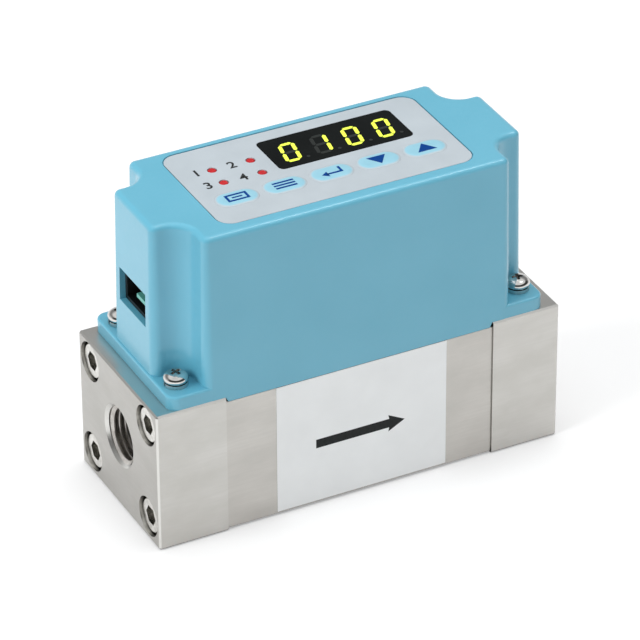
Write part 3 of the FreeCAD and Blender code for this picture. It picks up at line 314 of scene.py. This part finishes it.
lamp_red = moulded_plastic("lamp_red", srgb(176, 10, 18), srgb(190, 16, 24), 0.25, grain=0.1)
lamp_red.plain(Subsurface_Weight=0.2, Subsurface_Scale=0.4 * MM, Coat_Weight=0.3, Coat_Roughness=0.1)

navy_ink = ink("navy_ink", srgb(2, 54, 122), srgb(6, 62, 132), 0.6)
dark_ink = ink("dark_ink", srgb(38, 40, 40), srgb(45, 47, 47), 0.6)
ghost_ink = ink("ghost_ink", srgb(38, 41, 40), srgb(44, 47, 46), 0.35)

segment_light = ink("segment_light", srgb(214, 232, 70), srgb(222, 238, 84), 0.4)
segment_light.plain(Emission_Strength=0.42)
segment_glow = segment_light.cloud(srgb(222, 236, 74), srgb(232, 244, 96), 0.8, detail=2)
segment_light.feed(segment_glow, segment_light.surface.inputs["Emission Color"])

NODE_SHADES = {
    "inlet_block": block_steel,
    "outlet_block": block_steel,
    "flow_body": body_steel,
    "inlet_seal": sealing_rubber,
    "outlet_seal": sealing_rubber,
    "inlet_block_screws": bolt_steel,
    "outlet_block_screws": bolt_steel,
    "inlet_screen": inner_steel,
    "screen_spacer": inner_steel,
    "flow_straightener": inner_steel,
    "outlet_screen": inner_steel,
    "sensor_header": header_plastic,
    "sensor_chip": chip_ceramic,
    "sensor_seal": sealing_rubber,
    "sensor_pins": pin_gold,
    "sensor_clamp": inner_steel,
    "sensor_clamp_screws": screw_steel,
    "board_standoffs": inner_steel,
    "main_board": board_green,
    "main_board_screws": screw_steel,
    "board_packages": black_plastic,
    "side_connector": socket_plastic,
    "connector_contacts": mint_plastic,
    "board_link": black_plastic,
    "display_board": board_green,
    "led_display": display_face,
    "display_board_screws": screw_steel,
    "indicator_lamps": lamp_red,
    "key_switches": black_plastic,
    "housing_cover": cover_blue,
    "cover_spring_washers": washer_steel,
    "cover_screws": screw_steel,
    "overlay_panel": panel_film,
    "display_window": dark_window,
    "flow_label": label_film,
}
for number in range(5):
    NODE_SHADES[f"key_plunger_{number + 1}"] = plunger_plastic

for name, node in nodes.items():
    node.data.materials.clear()
    node.data.materials.append(NODE_SHADES[name].material)


# Mesh helpers


def piece(name, mesh, shade, origin=(0, 0, 0), smooth=False):
    """A new object in millimetres about an origin, with its material and body."""
    for vertex in mesh.vertices:
        vertex.co *= MM
    mesh.materials.clear()
    mesh.materials.append(shade.material)
    for polygon in mesh.polygons:
        polygon.use_smooth = smooth
    thing = bpy.data.objects.new(name, mesh)
    thing.location = Vector(origin) * MM
    bpy.context.scene.collection.objects.link(thing)
    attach(thing, "meter")
    return thing


def mesh_of(name, build):
    """A mesh that the given function fills through bmesh."""
    shape = bmesh.new()
    build(shape)
    mesh = bpy.data.meshes.new(name)
    shape.to_mesh(mesh)
    shape.free()
    return mesh


def closed_form(shape, loops):
    """Faces between loops of points that have as many corners, with a face over each end."""
    rings = [[shape.verts.new(point) for point in loop] for loop in loops]
    for low, high in zip(rings, rings[1:]):
        for index in range(len(low)):
            after = (index + 1) % len(low)
            shape.faces.new((low[index], low[after], high[after], high[index]))
    shape.faces.new(rings[-1])
    shape.faces.new(rings[0][::-1])


def plates_mesh(name, outlines, low, high):
    """Flat plates over outlines of (x, y) points, from the low to the high level."""
    def build(shape):
        for points in outlines:
            closed_form(shape, [[(x, y, level) for x, y in points] for level in (low, high)])

    return mesh_of(name, build)


def box_outline(x, y, length, width):
    """Counter-clockwise corners of a rectangle about a centre."""
    return [
        (x - length / 2, y - width / 2),
        (x + length / 2, y - width / 2),
        (x + length / 2, y + width / 2),
        (x - length / 2, y + width / 2),
    ]


def rounded_box_outline(length, width, radius, steps, centre=(0, 0)):
    """Counter-clockwise points of a rectangle with round corners."""
    points = []
    for corner, (sx, sy) in enumerate(((1, 1), (-1, 1), (-1, -1), (1, -1))):
        for step in range(steps + 1):
            angle = math.radians(90 * (corner + step / steps))
            points.append((
                centre[0] + sx * (length / 2 - radius) + radius * math.cos(angle),
                centre[1] + sy * (width / 2 - radius) + radius * math.sin(angle),
            ))
    return points


def circle_outline(centre, radius, steps=40):
    turns = (math.tau * step / steps for step in range(steps))
    return [(centre[0] + radius * math.cos(t), centre[1] + radius * math.sin(t)) for t in turns]


def evaluated_mesh(name, thing):
    """A new mesh of an object in the scene as it is drawn, with its curves and modifiers worked out."""
    bpy.context.view_layer.update()
    drawn = thing.evaluated_get(bpy.context.evaluated_depsgraph_get())
    mesh = bpy.data.meshes.new_from_object(drawn)
    mesh.name = name
    return mesh


def curve_mesh(name, curve, level):
    """The mesh of a curve or text, lifted to a level."""
    holder = bpy.data.objects.new(name, curve)
    bpy.context.scene.collection.objects.link(holder)
    mesh = evaluated_mesh(name, holder)
    bpy.data.objects.remove(holder)
    bpy.data.curves.remove(curve)
    for vertex in mesh.vertices:
        vertex.co.z += level
    return mesh


def filled_outlines(name, outlines, thickness, level):
    """A plate over closed outlines, where inner outlines become holes."""
    curve = bpy.data.curves.new(name, "CURVE")
    curve.dimensions = "2D"
    curve.fill_mode = "BOTH"
    curve.extrude = thickness / 2
    for points in outlines:
        spline = curve.splines.new("POLY")
        spline.points.add(len(points) - 1)
        for point, (x, y) in zip(spline.points, points):
            point.co = (x, y, 0, 1)
        spline.use_cyclic_u = True
    return curve_mesh(name, curve, level + thickness / 2)


def cut_mesh(name, build_body, build_cutter):
    """The first form with the second taken out of it."""
    body = bpy.data.objects.new(name, mesh_of(name, build_body))
    cutter = bpy.data.objects.new(f"{name}_cutter", mesh_of(f"{name}_cutter", build_cutter))
    for thing in (body, cutter):
        bpy.context.scene.collection.objects.link(thing)
    cut = body.modifiers.new("cut", "BOOLEAN")
    cut.operation = "DIFFERENCE"
    cut.solver = "EXACT"
    cut.use_self = True
    cut.object = cutter
    mesh = evaluated_mesh(name, body)
    for thing in (body, cutter):
        bpy.data.objects.remove(thing)
    return mesh


# Panel film with its five domed keys


def panel_sheet():
    """The film with the window cut-out and lamp holes; the keys stand on it as soft domes."""
    length, width = (side + 2 * WINDOW_GAP for side in WINDOW_SIZE)
    outlines = [
        rounded_box_outline(*PANEL_SIZE, PANEL_CORNER, 12, PANEL_CENTRE),
        rounded_box_outline(length, width, WINDOW_CORNER, 6, WINDOW_CENTRE),
    ]
    for x in LAMP_X:
        for y in LAMP_Y:
            outlines.append(circle_outline((x, y), LAMP_RADIUS + LAMP_GAP))
    mesh = filled_outlines("panel_sheet", outlines, FILM_THICKNESS, PANEL_Z - FILM_THICKNESS)
    sheet = piece("panel_sheet", mesh, panel_film)
    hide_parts("overlay_panel")


KEY_RISE = 0.27
KEY_SLOPE = 1.7


def key_shade():
    """Light blue print that fades out into the film round each key."""
    shade = Shade("key_blue")
    core = ((KEY_LENGTH - KEY_WIDTH) / 2, 0, 0)
    absolute = shade.calculate("ShaderNodeVectorMath", "ABSOLUTE", shade.place((1, 1, 0)))
    beyond = shade.calculate("ShaderNodeVectorMath", "SUBTRACT", absolute.outputs[0], core)
    outward = shade.calculate("ShaderNodeVectorMath", "MAXIMUM", beyond.outputs[0], (0, 0, 0))
    distance = shade.calculate("ShaderNodeVectorMath", "LENGTH", outward.outputs[0])
    fade = shade.remap(distance.outputs["Value"], KEY_WIDTH / 2 - 0.75, KEY_WIDTH / 2 - 0.1,
                       interpolation="SMOOTHSTEP")
    blue = shade.cloud(srgb(138, 189, 206), srgb(146, 195, 212), 0.25, detail=2)
    grey = shade.cloud(*FILM_TONES, 0.12)
    shade.colour(shade.blend(fade, blue, grey))
    shade.bump(shade.noise(4), 0.2, 0.008)
    shade.plain(Roughness=0.32)
    return shade


def key_dome(shape):
    """A stadium-shaped pad in rings from its edge to a flat top, closer together at the edge."""
    rings = 14
    loops = []
    for ring in range(rings + 1):
        share = (ring / rings) ** 1.3
        inward = KEY_SLOPE * share
        height = KEY_RISE * (1 - (1 - share) ** 2.2)
        outline = rounded_box_outline(KEY_LENGTH - 2 * inward, KEY_WIDTH - 2 * inward,
                                      KEY_WIDTH / 2 - inward - 0.01, 12)
        loops.append([(x, y, height) for x, y in outline])
    closed_form(shape, loops)


def keys():
    shade = key_shade()
    for number, x in enumerate(KEY_X, start=1):
        mesh = mesh_of(f"key_pad_{number}", key_dome)
        pad = piece(f"key_pad_{number}", mesh, shade, (x, KEY_Y, PANEL_Z), smooth=True)
        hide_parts("overlay_panel")


def key_signs():
    """Plain signs on the keys: a frame, three bars, a return arrow, and the two triangles."""
    stroke = 0.58
    frame_x, frame_y = 2.25, 1.4
    frame_sign = [box_outline(x, 0, stroke, 2 * frame_y - 2 * stroke) for x in (-frame_x, frame_x)]
    for y in (-frame_y + stroke / 2, frame_y - stroke / 2):
        frame_sign.append(box_outline(0, y, 2 * frame_x + stroke, stroke))
    frame_sign.append(box_outline(0, 0, 2.4, 0.5))
    bars_sign = [box_outline(0, y, 5, stroke) for y in (-1.05, 0, 1.05)]
    return_sign = [
        box_outline(0.5, -0.55, 3.8, stroke),
        box_outline(2.1, 0.6, stroke, 1.7),
        [(-2.6, -0.55), (-1.1, -1.6), (-1.1, 0.5)],
    ]
    down_sign = [[(-2.3, 1.45), (0, -1.75), (2.3, 1.45)]]
    up_sign = [[(-2.3, -1.45), (2.3, -1.45), (0, 1.75)]]

    signs = (frame_sign, bars_sign, return_sign, down_sign, up_sign)
    level = PANEL_Z + KEY_RISE + PRINT_GAP
    for number, (x, outlines) in enumerate(zip(KEY_X, signs), start=1):
        mesh = plates_mesh(f"key_sign_{number}", outlines, 0, PRINT_THICKNESS)
        piece(f"key_sign_{number}", mesh, navy_ink, (x, KEY_Y, level))


# Display digits

DIGIT_WIDTH = 3.9
DIGIT_HEIGHT = 7.7
DIGIT_PITCH = 7.5
DIGIT_SLANT = math.tan(math.radians(10))
FIRST_DIGIT = (-3.95, 5.85)
POINT_PLACE = (2.75, -3.35)
POINT_RADIUS = 0.42
STROKE = 0.86
STROKE_GAP = 0.13
SEGMENTS_OF = {"0": "abcdef", "1": "bc"}


def segment_bar(start, end):
    """A bar from one corner of a digit to the next, pointed at both ends."""
    (x0, y0), (x1, y1) = start, end
    length = math.hypot(x1 - x0, y1 - y0)
    ux, uy = (x1 - x0) / length, (y1 - y0) / length
    half = STROKE / 2
    shoulder = STROKE_GAP + half
    outline = (
        (STROKE_GAP, 0),
        (shoulder, -half),
        (length - shoulder, -half),
        (length - STROKE_GAP, 0),
        (length - shoulder, half),
        (shoulder, half),
    )
    return [(x0 + ux * along - uy * aside, y0 + uy * along + ux * aside) for along, aside in outline]


def segment_outlines():
    """The seven bars of an upright digit, centred, by their usual letters."""
    across = DIGIT_WIDTH / 2 - STROKE / 2
    up = DIGIT_HEIGHT / 2 - STROKE / 2
    return {
        "a": segment_bar((-across, up), (across, up)),
        "b": segment_bar((across, up), (across, 0)),
        "c": segment_bar((across, 0), (across, -up)),
        "d": segment_bar((-across, -up), (across, -up)),
        "e": segment_bar((-across, 0), (-across, -up)),
        "f": segment_bar((-across, up), (-across, 0)),
        "g": segment_bar((-across, 0), (across, 0)),
    }


def display_digits(text):
    """Lit and unlit bars of the digits, with the unlit points between them."""
    bars = segment_outlines()
    lit = []
    unlit = []
    for place, figure in enumerate(text):
        x0 = FIRST_DIGIT[0] + DIGIT_PITCH * place
        y0 = FIRST_DIGIT[1]
        for key, points in bars.items():
            slanted = [(x0 + x + DIGIT_SLANT * y, y0 + y) for x, y in points]
            group = lit if key in SEGMENTS_OF[figure] else unlit
            group.append(slanted)
        unlit.append(circle_outline((x0 + POINT_PLACE[0], y0 + POINT_PLACE[1]), POINT_RADIUS, 20))

    low, high = PANEL_Z + 0.004, PANEL_Z + 0.02
    for name, outlines, shade in (("digits_lit", lit, segment_light), ("digits_unlit", unlit, ghost_ink)):
        piece(name, plates_mesh(name, outlines, low, high), shade)


# Numbers beside the lamps


def lamp_numbers():
    """Plain numbers beside the lamps, in the built-in font."""
    places = (("1", -25.6, 6.85), ("2", -17.4, 6.6), ("3", -25.6, 1.1), ("4", -17.4, 0.9))
    for text, x, y in places:
        curve = bpy.data.curves.new(f"lamp_number_{text}", "FONT")
        curve.body = text
        curve.size = 3.7
        curve.offset = 0.07
        curve.align_x = "CENTER"
        curve.align_y = "CENTER"
        curve.extrude = 0.008
        mesh = curve_mesh(f"lamp_number_{text}", curve, 0.01)
        piece(f"lamp_number_{text}", mesh, dark_ink, (x, y, PANEL_Z))


# Arrow on the label


def label_arrow():
    """The flow arrow printed on the label."""
    tail, neck, barb, tip = -10.9, 6.9, 6.7, 10.7
    half_shaft, half_head = 1.1, 2.1
    points = [
        (tail, -half_shaft),
        (neck, -half_shaft),
        (barb, -half_head),
        (tip, 0),
        (barb, half_head),
        (neck, half_shaft),
        (tail, half_shaft),
    ]
    mesh = plates_mesh("label_arrow", [points], 0, PRINT_THICKNESS)
    place = (0, LABEL_FRONT_Y - PRINT_GAP, 15.6)
    arrow = piece("label_arrow", mesh, dark_ink, place)
    arrow.rotation_euler = (math.radians(90), 0, 0)


# Threads in the ports

THREAD_PITCH = 1.337
THREAD_TURNS = 7.2
THREAD_DEPTH = 0.8
THREAD_START = 0.8


def thread_ridge(shape):
    """A helical ridge with a flat crest, wound along +X from the port's mouth inwards."""
    steps = 96
    wall = PORT_RADIUS + 0.05
    crest = PORT_RADIUS - THREAD_DEPTH
    flank = [(0.64, wall), (0.2, crest + 0.12), (0.08, crest)]
    profile = [(-along, radius) for along, radius in flank] + flank[::-1]
    count = int(THREAD_TURNS * steps)
    loops = []
    for index in range(count + 1):
        angle = math.tau * index / steps
        run_in = min(1, index / (0.2 * steps), (count - index) / (0.6 * steps))
        loop = []
        for along, radius in profile:
            reach = wall - (wall - radius) * run_in
            x = THREAD_PITCH * index / steps + along
            loop.append((x, reach * math.cos(angle), reach * math.sin(angle)))
        loops.append(loop)
    closed_form(shape, loops)
    bmesh.ops.recalc_face_normals(shape, faces=shape.faces)


def port_threads():
    """A ridge in each port, turned so that its start is hidden from the photograph's view."""
    for name, side in (("inlet_thread", 1), ("outlet_thread", -1)):
        mouth = (-side * (BLOCK_END_X - THREAD_START), 0, PORT_HEIGHT)
        ridge = piece(name, mesh_of(name, thread_ridge), thread_steel, mouth)
        ridge.rotation_euler = (math.radians(135), 0, 0 if side > 0 else math.pi)


# Cover screws with rounded heads

# Radius and height from the seat up
HEAD_PROFILE = (
    (0, 0), (2.1, 0), (2.4, 0.1), (2.63, 0.34), (2.74, 0.7), (2.72, 1.02),
    (2.6, 1.34), (2.38, 1.63), (2.04, 1.89), (1.6, 2.09), (0.9, 2.25), (0, 2.3),
)
HEAD_TURNS = (20, 65, -15, 40)
SHANK_RADIUS = 1.5
SHANK_LENGTH = 6


def pan_head(shape):
    """A domed head with its under edge rounded, turned about Z from the seat up."""
    steps = 64
    rings = []
    for radius, height in HEAD_PROFILE:
        outline = circle_outline((0, 0), radius, steps) if radius else [(0, 0)]
        rings.append([shape.verts.new((x, y, height)) for x, y in outline])
    for low, high in zip(rings, rings[1:]):
        for index in range(steps):
            after = (index + 1) % steps
            corners = (
                low[index % len(low)],
                low[after % len(low)],
                high[after % len(high)],
                high[index % len(high)],
            )
            shape.faces.new(list(dict.fromkeys(corners)))


def cross_cutter(shape):
    """Two crossed tapered wedges that leave the driver recess."""
    low = box_outline(0, 0, 1.1, 0.56)
    high = box_outline(0, 0, 3, 0.8)
    for turn in (0, math.pi / 2):
        spin = Matrix.Rotation(turn, 3, "Z")
        ends = ((low, 0.9), (high, 2.6))
        closed_form(shape, [[spin @ Vector((x, y, level)) for x, y in outline] for outline, level in ends])


def shank(shape):
    """A plain stem down from the seat."""
    bmesh.ops.create_cone(shape, cap_ends=True, segments=32, radius1=SHANK_RADIUS, radius2=SHANK_RADIUS,
                          depth=SHANK_LENGTH, matrix=Matrix.Translation((0, 0, -SHANK_LENGTH / 2)))


def cover_screws():
    for number, ((x, y), turn) in enumerate(zip(COVER_SCREWS, HEAD_TURNS), start=1):
        head_name = f"cover_screw_head_{number}"
        stem_name = f"cover_screw_stem_{number}"
        seat = (x, y, COVER_SCREW_SEAT_Z)
        head_mesh = cut_mesh(head_name, pan_head, cross_cutter)
        head = piece(head_name, head_mesh, screw_steel, seat, smooth=True)
        head.rotation_euler = (0, 0, math.radians(turn))
        head.data.set_sharp_from_angle(angle=math.radians(35))
        stem = piece(stem_name, mesh_of(stem_name, shank), screw_steel, seat)
        for part in (head, stem):
            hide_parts("cover_screws")


panel_sheet()
keys()
key_signs()
display_digits("0100")
lamp_numbers()
label_arrow()
port_threads()
cover_screws()


# Studio

FLOOR_GLOW = 0.3
FLOOR_HALF_SIZE = 6
FLOOR_DROP = 0.05
LIGHT_TARGET = (0, 0, 0.03)


def floor_shade():
    """Pale floor: near white to the camera, with the object's soft shadow kept."""
    shade = Shade("floor_white")
    shade.colour(shade.cloud(srgb(214, 214, 214), srgb(217, 217, 217), 0.002, detail=2))
    shade.plain(Roughness=0.9, Specular_IOR_Level=0.1)
    path = shade.add("ShaderNodeLightPath")
    seen = shade.calculate("ShaderNodeMath", "MAXIMUM", path.outputs["Is Camera Ray"],
                           path.outputs["Is Glossy Ray"])
    level = shade.calculate("ShaderNodeMath", "MULTIPLY", seen.outputs[0], FLOOR_GLOW)
    glow = shade.add("ShaderNodeEmission")
    shade.feed(level.outputs[0], glow.inputs["Strength"])
    both = shade.add("ShaderNodeAddShader")
    shade.feed(shade.surface.outputs[0], both.inputs[0])
    shade.feed(glow.outputs[0], both.inputs[1])
    shade.feed(both.outputs[0], shade.tree.nodes["Material Output"].inputs["Surface"])
    return shade


def grid(shape):
    bmesh.ops.create_grid(shape, x_segments=2, y_segments=2, size=FLOOR_HALF_SIZE)


def studio_floor():
    """The floor, just under the object so that their faces don't meet."""
    mesh = mesh_of("studio_floor", grid)
    for vertex in mesh.vertices:
        vertex.co.z = -FLOOR_DROP * MM
    mesh.materials.append(floor_shade().material)
    floor = bpy.data.objects.new("studio_floor", mesh)
    bpy.context.scene.collection.objects.link(floor)


def studio_world():
    """Plain pale grey to the camera past the floor, a room to metal, even light to the rest.

    The room is bright at the horizon and the ceiling. Between them its front is dark and its back is
    mid grey, so that the metal shows both.
    """
    world = bpy.data.worlds.new("studio")
    bpy.context.scene.world = world
    world.use_nodes = True
    world.node_tree.nodes.clear()
    room = NodeTree(world.node_tree)

    direction = room.add("ShaderNodeSeparateXYZ")
    room.feed(room.add("ShaderNodeTexCoord").outputs["Generated"], direction.inputs[0])

    def wall(*stops):
        """Grey levels of one side of the room, from the horizon up to the ceiling."""
        return room.ramp(direction.outputs["Z"], *((place, (grey, grey, grey, 1)) for place, grey in stops))

    def background(colour, strength=1):
        node = room.add("ShaderNodeBackground")
        room.feed(colour, node.inputs["Color"])
        node.inputs["Strength"].default_value = strength
        return node.outputs[0]

    def choice(factor, otherwise, chosen):
        """The chosen background where the factor is one."""
        node = room.add("ShaderNodeMixShader")
        for value, socket in zip((factor, otherwise, chosen), node.inputs):
            room.feed(value, socket)
        return node.outputs[0]

    front = wall((0, 0.9), (0.1, 0.07), (0.6, 0.05), (0.7, 0.9), (1, 0.9))
    back = wall((0, 0.95), (0.2, 0.8), (0.38, 0.3), (0.62, 0.3), (0.8, 0.95))
    turned_back = room.remap(direction.outputs["Y"], -0.15, 0.35, interpolation="SMOOTHSTEP")
    walls = background(room.blend(turned_back, front, back))
    even = background((0.97, 0.985, 1, 1), 0.42)
    pale = background((0.8, 0.8, 0.8, 1))

    path = room.add("ShaderNodeLightPath")
    direct = room.calculate("ShaderNodeMath", "MAXIMUM", path.outputs["Is Camera Ray"],
                            path.outputs["Is Transmission Ray"])
    unseen = choice(path.outputs["Is Glossy Ray"], even, walls)
    output = room.add("ShaderNodeOutputWorld")
    room.feed(choice(direct.outputs[0], unseen, pale), output.inputs["Surface"])


def area_light(name, place, size, power, mirrored=False):
    """A soft square light in metres, turned to the object; only a mirrored one shows in the metal."""
    lamp = bpy.data.lights.new(name, "AREA")
    lamp.shape = "SQUARE"
    lamp.size = size
    lamp.energy = power
    thing = bpy.data.objects.new(name, lamp)
    thing.location = place
    thing.rotation_euler = (Vector(LIGHT_TARGET) - Vector(place)).to_track_quat("-Z", "Y").to_euler()
    thing.visible_glossy = mirrored
    bpy.context.scene.collection.objects.link(thing)


def camera():
    """The photograph's view: long lens, from the left front and above."""
    azimuth, elevation, roll = (math.radians(angle) for angle in (-26.97, 32.16, -0.35))
    distance = 993.67
    target = Vector((0.03, 0, 33.26))
    picture_width = 640
    focal_length = 4568.41
    back = Vector((
        math.sin(azimuth) * math.cos(elevation),
        -math.cos(azimuth) * math.cos(elevation),
        math.sin(elevation),
    ))
    right = Vector((0, 0, 1)).cross(back).normalized()
    up = back.cross(right)
    right, up = (
        math.cos(roll) * right + math.sin(roll) * up,
        -math.sin(roll) * right + math.cos(roll) * up,
    )
    data = bpy.data.cameras.new("camera")
    data.sensor_fit = "HORIZONTAL"
    data.sensor_width = 36
    data.lens = data.sensor_width * focal_length / picture_width
    data.clip_start = 0.05
    data.clip_end = 50
    thing = bpy.data.objects.new("camera", data)
    turn = Matrix((right, up, back)).transposed()
    thing.matrix_world = Matrix.Translation((target + distance * back) * MM) @ turn.to_4x4()
    bpy.context.scene.collection.objects.link(thing)
    bpy.context.scene.camera = thing


studio_floor()
studio_world()
area_light("key", (-1, -0.05, 0.6), size=0.6, power=8.2)
area_light("top", (0.08, 0.12, 1.1), size=0.7, power=6.2)
area_light("edge", (0.42, -0.08, 1.02), size=0.2, power=1, mirrored=True)
area_light("front", (0.35, -1, 0.5), size=0.8, power=2.2)
camera()
bpy.context.scene.view_settings.view_transform = "Standard"
